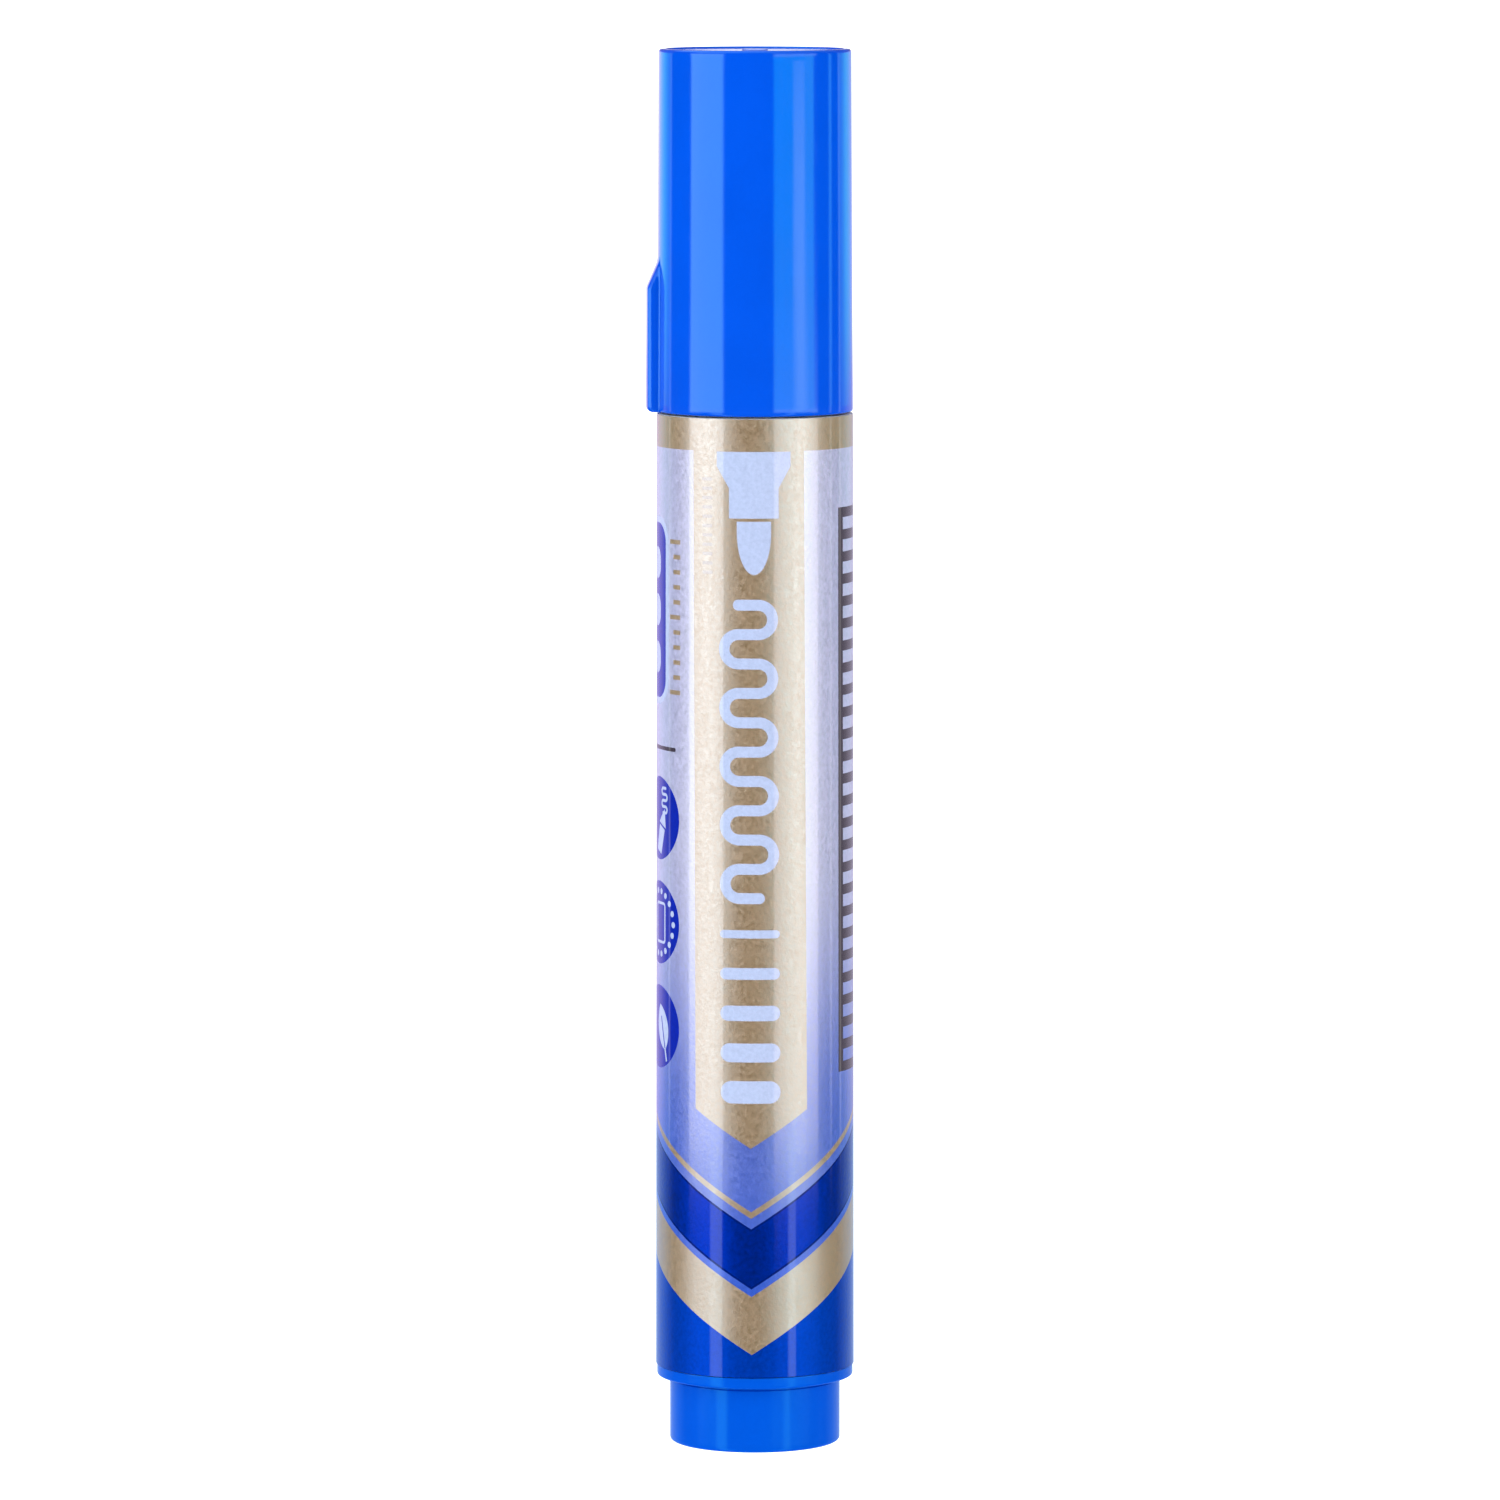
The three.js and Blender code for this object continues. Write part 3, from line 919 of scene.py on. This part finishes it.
def cap_wall_radius(turn, height, length, rib_radius):
    """The outside of the cap at a turn from the rib's middle and a height above its mouth."""
    wall = CAP_MOUTH_RADIUS + (CAP_TOP_RADIUS - CAP_MOUTH_RADIUS) * height / length
    if turn > RIB_REACH:
        return wall
    ramp = (height - RIB_LENGTH + RIB_RAMP) / RIB_RAMP
    face = rib_radius - (rib_radius - CAP_TOP_RADIUS) * ramp
    face = smooth_least(rib_radius, face, RIB_FACE_BLEND)
    side = (RIB_HALF_WIDTH + RIB_TAPER * CAP_MOUTH_RADIUS) / (
        math.sin(turn) + RIB_TAPER * math.cos(turn)
    )
    rib = smooth_least(face, side, RIB_SIDE_BLEND)
    return smooth_most(wall, rib, RIB_FOOT_BLEND)


def cap_shell(material):
    """The cap: a drafted shell with a dished top, a socket for the seal inside, and a rib."""
    low, top = span("cap_shell")
    length = top - low
    roof = length - CAP_RECESS - CAP_ROOF
    socket_bore = radius_of("cap_inner_seal") + CLEARANCE
    bore_top = NECK_LENGTH + 1.5
    inside_points = rounded(
        [
            (0, roof),
            (socket_bore, roof, 0.2),
            (socket_bore, roof - SOCKET_LENGTH, 0.15),
            (SOCKET_RADIUS, roof - SOCKET_LENGTH, 0.15),
            (SOCKET_RADIUS, roof, 0.2),
            (CAP_BORE_RADIUS - 0.2, roof, 0.3),
            (CAP_BORE_RADIUS, bore_top),
            *reversed(bead(CAP_BORE_RADIUS, CAP_BORE_RADIUS + 0.1, 3, 4.5)),
            (CAP_BORE_RADIUS, 0.4, 0.2),
            (CAP_BORE_RADIUS + 0.25, 0, 0.08),
            (CAP_MOUTH_RADIUS, 0),
        ]
    )[:-1]
    floor_radius = CAP_TOP_RADIUS - CAP_RIM
    dish = rounded(
        [
            (CAP_TOP_RADIUS, length),
            (floor_radius, length, 0.06),
            (floor_radius - CAP_RECESS / 2, length - CAP_RECESS, 0.08),
            (1.3, length - CAP_RECESS, 0.1),
            (1.2, length - CAP_RECESS + 0.08, 0.06),
            (0, length - CAP_RECESS + 0.08),
        ]
    )[1:]
    # heights of the wall's rows of faces, close together along the rib's ramp
    ramp_rows = np.linspace(RIB_LENGTH - RIB_RAMP - 0.3, RIB_LENGTH + 0.5, 27)
    rows = [0.8, 2, 5, 8, 10.5, *ramp_rows, 17, 20, 24, 28, 32, length - 1]
    arc = [math.pi / 2 * i / 6 for i in range(7)]
    rib_radius = -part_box("cap_shell")[0].x / MM

    def outline(angle):
        turn = off_turn(angle, math.pi)
        foot = cap_wall_radius(turn, CAP_FOOT_EDGE, length, rib_radius)
        in_rib = min(max((foot - CAP_MOUTH_RADIUS) / 0.9, 0), 1)
        corner = CAP_FOOT_EDGE + (RIB_CORNER - CAP_FOOT_EDGE) * in_rib
        points = list(inside_points)
        points += [
            (foot - corner * (1 - math.sin(t)), corner * (1 - math.cos(t))) for t in arc
        ]
        points += [(cap_wall_radius(turn, h, length, rib_radius), h) for h in rows]
        head = cap_wall_radius(turn, length, length, rib_radius)
        points += [
            (head - CAP_HEAD_EDGE * (1 - math.cos(t)), length - CAP_HEAD_EDGE * (1 - math.sin(t)))
            for t in arc
        ]
        return [(r, low + z) for r, z in points + dish]

    # finer divisions along the rib's sides
    sides = [math.radians(9 + 0.16 * i) for i in range(50)]
    extra = [math.pi + s * a for a in sides for s in (-1, 1)]
    shape = swept(outline, angles_with(extra, 240), False)
    return new_piece("cap_fine", shape, material, "cap", "cap_shell")


def cap_inner_seal(material):
    """A soft deep cup, mouth down, with a bead inside that grips the nib holder's land."""
    low, top = span("cap_inner_seal")
    outer = radius_of("cap_inner_seal")
    mouth_bore = SEAL_BORE_RADIUS + 0.4
    corners = [
        (0, top - SEAL_ROOF),
        (SEAL_BORE_RADIUS, top - SEAL_ROOF, 0.6),
        *reversed(bead(mouth_bore, HOLDER_SEAL_RADIUS + CLEARANCE, low + 1.4, low + 2.6)),
        (mouth_bore, low + 0.5, 0.2),
        (mouth_bore + 0.3, low, 0.1),
        (outer, low, 0.15),
        (outer, top, 0.4),
        (0, top),
    ]
    return round_piece(
        "cap_inner_seal", corners, even_angles(160), False, material, "cap"
    )


# ---- the studio --------------------------------------------------------------------------------
# What stands round the marker, in three layers: at eye level, near the floor, and everywhere else.
# Each layer is a list of angles in degrees, from the camera's side towards +X, with the colour of
# the surroundings there. The colour runs evenly from one angle to the next.
DEEP = (0.0, 0.12, 0.08)
EYE_LEVEL = [
    (-180, (1.35, 1.35, 1.35)),
    (-160, (1.5, 1.3, 1.3)),
    (-136, (0.4, 1.8, 1.4)),
    (-121, (0.3, 0.9, 0.9)),
    (-120, (0.9, 1.4, 1.4)),
    (-118.5, (0.9, 1.4, 1.4)),
    (-117.5, DEEP),
    (-83, DEEP),
    (-81, (3.1, 3.8, 3.8)),
    (-39, (3.2, 3.9, 3.9)),
    (-37, DEEP),
    (21.5, DEEP),
    (23, (0.22, 2.6, 2.6)),
    (62, (0.22, 2.6, 2.6)),
    (64, (0.75, 2.85, 2.4)),
    (73, (0.75, 2.85, 2.4)),
    (75, DEEP),
    (98, DEEP),
    (99, (0.5, 1.75, 1.6)),
    (103, (0.5, 1.75, 1.6)),
    (104, DEEP),
    (117, DEEP),
    (118, (0.7, 1.3, 1.3)),
    (120, (0.7, 1.3, 1.3)),
    (121.5, (0.3, 0.8, 0.8)),
    (136, (0.4, 1.75, 1.45)),
    (160, (0.8, 0.85, 1.1)),
    (180, (1.2, 1.2, 1.3)),
]
DARK = (0.085, 0.075, 0.065)
BEHIND_LEFT = (0.82, 0.66, 0.98)
BEHIND_RIGHT = (0.66, 0.6, 0.78)
LEFT_PANEL = (3.9, 3.75, 3.9)
RIGHT_PANEL = (3.6, 3.0, 3.05)
ELSEWHERE = [
    (-180, BEHIND_LEFT),
    (-141, BEHIND_LEFT),
    (-122, (0.25, 0.25, 0.3)),
    (-120, (1.3, 1.3, 1.3)),
    (-118.5, (1.3, 1.3, 1.3)),
    (-117.5, DARK),
    (-84, DARK),
    (-82.5, LEFT_PANEL),
    (-38, LEFT_PANEL),
    (-36.5, DARK),
    (21.5, DARK),
    (23, RIGHT_PANEL),
    (78, RIGHT_PANEL),
    (80, DARK),
    (98, DARK),
    (99, (1.5, 1.5, 1.5)),
    (101.5, (1.5, 1.5, 1.5)),
    (102.5, DARK),
    (117, DARK),
    (118, (1.3, 1.3, 1.3)),
    (120, (1.3, 1.3, 1.3)),
    (121.5, (0.25, 0.25, 0.3)),
    (141, BEHIND_RIGHT),
    (180, BEHIND_RIGHT),
]
LOW_PANEL = (1.35, 1.8, 1.9)
NEAR_FLOOR = [
    (-180, (0.65, 0.8, 1.1)),
    (-130, (0.2, 0.45, 0.75)),
    (-110, (0.0, 0.06, 0.07)),
    (-54, (0.0, 0.06, 0.07)),
    (-53, LOW_PANEL),
    (-39, LOW_PANEL),
    (-38, (0.0, 0.05, 0.06)),
    (38.5, (0.0, 0.05, 0.06)),
    (40, LOW_PANEL),
    (48, LOW_PANEL),
    (49, (0.0, 0.2, 0.2)),
    (110, (0.0, 0.06, 0.07)),
    (130, (0.2, 0.4, 0.6)),
    (180, (0.65, 0.8, 1.1)),
]
# the sines of the elevations between which one layer gives way to the next
NEAR_FLOOR_EDGE = (-0.1433, -0.1403)
EYE_LEVEL_FOOT = (-0.06, -0.054)
EYE_LEVEL_HEAD = (0.05, 0.08)
CEILING_EDGE = (0.45, 0.75)
UPPER_EDGE = (0.1, 0.15)
UPPER_SHINE = 0.3  # how much of the panels above that edge a glossy surface shows
LAMP_ANGLE = 54.5  # an uneven lamp in front of the right panel
LAMP_HALF_WIDTH = 7.5
LAMP_HEAD = (0.015, 0.02)  # its sines of elevation, below the horizon
LAMP = (1.2, 1.2, 1.2)
LAMP_AT_EYE_LEVEL = (4.6, 1.9, 1.5)
OVERHEAD = (1.0, 1.35, 1.45)  # the ceiling
OVERHEAD_TILT = 0.9  # how much brighter the ceiling is towards -X
FLOOR_GLOW = 0.8
FLOOR_DROP = 16.0  # below the tail, so that the plug clears it when it is pulled out
FLOOR_REACH = 12.0  # metres


def panels(tree, share_of_turn, stops):
    """The colour of the surroundings all round."""
    ramp = tree.nodes.new("ShaderNodeValToRGB")
    tree.links.new(share_of_turn.socket, ramp.inputs["Fac"])
    elements = ramp.color_ramp.elements
    for index, (angle, colour) in enumerate(stops):
        place = angle / 360 + 0.5
        stop = elements[index] if index < 2 else elements.new(place)
        stop.position = place
        stop.color = (*colour, 1.0)
    return ramp.outputs["Color"]


def lamp(share_of_turn, z):
    """Where the lamp is, from 0 to 1. Its sides waver with height."""
    wave = (z * 190.0).math("SINE") * 2.6 + (z * 83.0).math("SINE") * 2.4
    off_side = (share_of_turn * 360.0 - (180.0 + LAMP_ANGLE) - wave).size() - LAMP_HALF_WIDTH
    return step_up(-off_side, -1.5, 1.5) * step_up(-z, *LAMP_HEAD)


def studio_light():
    """Tall soft panels round the marker, a bright ceiling, and a white backdrop for the camera."""
    world = bpy.data.worlds.new("studio")
    bpy.context.scene.world = world
    world.use_nodes = True
    tree = world.node_tree
    tree.nodes.clear()
    direction = tree.nodes.new("ShaderNodeTexCoord").outputs["Generated"]
    x, y, z = separate(tree, direction)
    share_of_turn = x.math("ARCTAN2", -y) / FULL_TURN + 0.5
    lamp_share = lamp(share_of_turn, z)

    def lit_panels(stops, lamp_colour):
        glow = blend_colours(tree, (0.0, 0.0, 0.0), lamp_colour, lamp_share)
        return added(tree, panels(tree, share_of_turn, stops), glow)

    around = blend_colours(
        tree,
        panels(tree, share_of_turn, NEAR_FLOOR),
        lit_panels(ELSEWHERE, LAMP),
        step_up(z, *NEAR_FLOOR_EDGE),
    )
    head_start, head_end = EYE_LEVEL_HEAD
    at_eye_level = step_up(z, *EYE_LEVEL_FOOT) * step_up(-z, -head_end, -head_start)
    around = blend_colours(
        tree, around, lit_panels(EYE_LEVEL, LAMP_AT_EYE_LEVEL), at_eye_level
    )
    path = tree.nodes.new("ShaderNodeLightPath")
    hidden = step_up(z, *UPPER_EDGE) * (1.0 - UPPER_SHINE)
    around = shade(tree, around, 1.0 - hidden * Field(tree, path.outputs["Is Glossy Ray"]))
    pale = tree.nodes.new("ShaderNodeRGB")
    pale.outputs[0].default_value = (*OVERHEAD, 1)
    ceiling = shade(tree, pale.outputs[0], (1.0 - x * OVERHEAD_TILT))
    lit = blend_colours(tree, around, ceiling, step_up(z, *CEILING_EDGE))
    lights = tree.nodes.new("ShaderNodeBackground")
    tree.links.new(lit, lights.inputs["Color"])
    backdrop = tree.nodes.new("ShaderNodeBackground")
    backdrop.inputs["Color"].default_value = (1, 1, 1, 1)
    mix = tree.nodes.new("ShaderNodeMixShader")
    tree.links.new(path.outputs["Is Camera Ray"], mix.inputs[0])
    tree.links.new(lights.outputs[0], mix.inputs[1])
    tree.links.new(backdrop.outputs[0], mix.inputs[2])
    output = tree.nodes.new("ShaderNodeOutputWorld")
    tree.links.new(mix.outputs[0], output.inputs["Surface"])


def floor():
    """A plain white floor. Glossy surfaces reflect the soft panels in its place."""
    mesh = bpy.data.meshes.new("floor")
    sides = ((-1, -1), (1, -1), (1, 1), (-1, 1))
    corners = [(x * FLOOR_REACH, y * FLOOR_REACH, -FLOOR_DROP * MM) for x, y in sides]
    mesh.from_pydata(corners, [], [(0, 1, 2, 3)])
    piece = bpy.data.objects.new("floor", mesh)
    bpy.context.scene.collection.objects.link(piece)
    material, tree, shader, place = new_material(
        "floor_paint",
        Roughness=0.9,
        Specular_IOR_Level=0.1,
        Emission_Color=(1, 1, 1, 1),
        Emission_Strength=FLOOR_GLOW,
    )
    tone = blend_colours(
        tree, (0.78, 0.78, 0.78), (0.80, 0.80, 0.80), noise(tree, place, 30.0, 2.0)
    )
    tree.links.new(tone, shader.inputs["Base Color"])
    mesh.materials.append(material)
    piece.visible_glossy = False


def camera():
    """A long lens a little higher than the cap's top, tipped down to the marker's middle."""
    data = bpy.data.cameras.new("camera")
    data.sensor_width = CAMERA_SENSOR
    data.lens = CAMERA_LENS
    data.clip_start = 0.05
    data.clip_end = 50
    view = bpy.data.objects.new("camera", data)
    bpy.context.scene.collection.objects.link(view)
    view.location = [x * MM for x in CAMERA_PLACE]
    view.rotation_euler = (math.pi / 2 - CAMERA_PITCH, 0, 0)
    bpy.context.scene.camera = view


# ---- the marker --------------------------------------------------------------------------------
def build_marker():
    """Makes the materials and every piece of the marker."""
    cap_blue = moulded_plastic(
        "cap_blue",
        (0.0, 0.057, 0.51),
        (0.0, 0.062, 0.55),
        0.1,
        0.01,
        IOR=1.5,
        Specular_IOR_Level=0.54,
        Specular_Tint=(0.4, 1.0, 1.0, 1.0),
    )
    plug_blue = moulded_plastic(
        "plug_blue",
        (0.0, 0.060, 0.46),
        (0.0, 0.066, 0.50),
        0.14,
        0.008,
        IOR=1.5,
        Specular_IOR_Level=0.45,
        Specular_Tint=(0.1, 1.0, 1.0, 1.0),
    )
    white = moulded_plastic(
        "white_plastic", (0.50, 0.51, 0.51), (0.54, 0.55, 0.55), 0.3, 0.008, IOR=1.5
    )
    milky = moulded_plastic(
        "milky_plastic",
        (0.72, 0.80, 0.86),
        (0.80, 0.87, 0.92),
        0.38,
        0.01,
        IOR=1.5,
        Subsurface_Weight=0.3,
        Subsurface_Scale=0.001,
    )
    wrap = moulded_plastic(
        "wrap_film", (0.45, 0.55, 0.78), (0.6, 0.68, 0.85), 0.2, 0.02, IOR=1.5
    )
    fibre = felt("ink_fibre", (0.004, 0.02, 0.22), (0.03, 0.11, 0.62), {"IOR": 1.35})
    ink_felt = felt("ink_felt", (0.002, 0.012, 0.16), (0.012, 0.05, 0.42), {"IOR": 1.35})
    end_plug(plug_blue)
    barrel(white)
    label_film(printed_film())
    reservoir_core(fibre)
    reservoir_wrap(wrap)
    bullet_nib(ink_felt)
    nib_holder(white)
    cap_shell(cap_blue)
    cap_inner_seal(milky)


bpy.context.scene.view_settings.view_transform = "Standard"
studio_light()
floor()
camera()
build_marker()
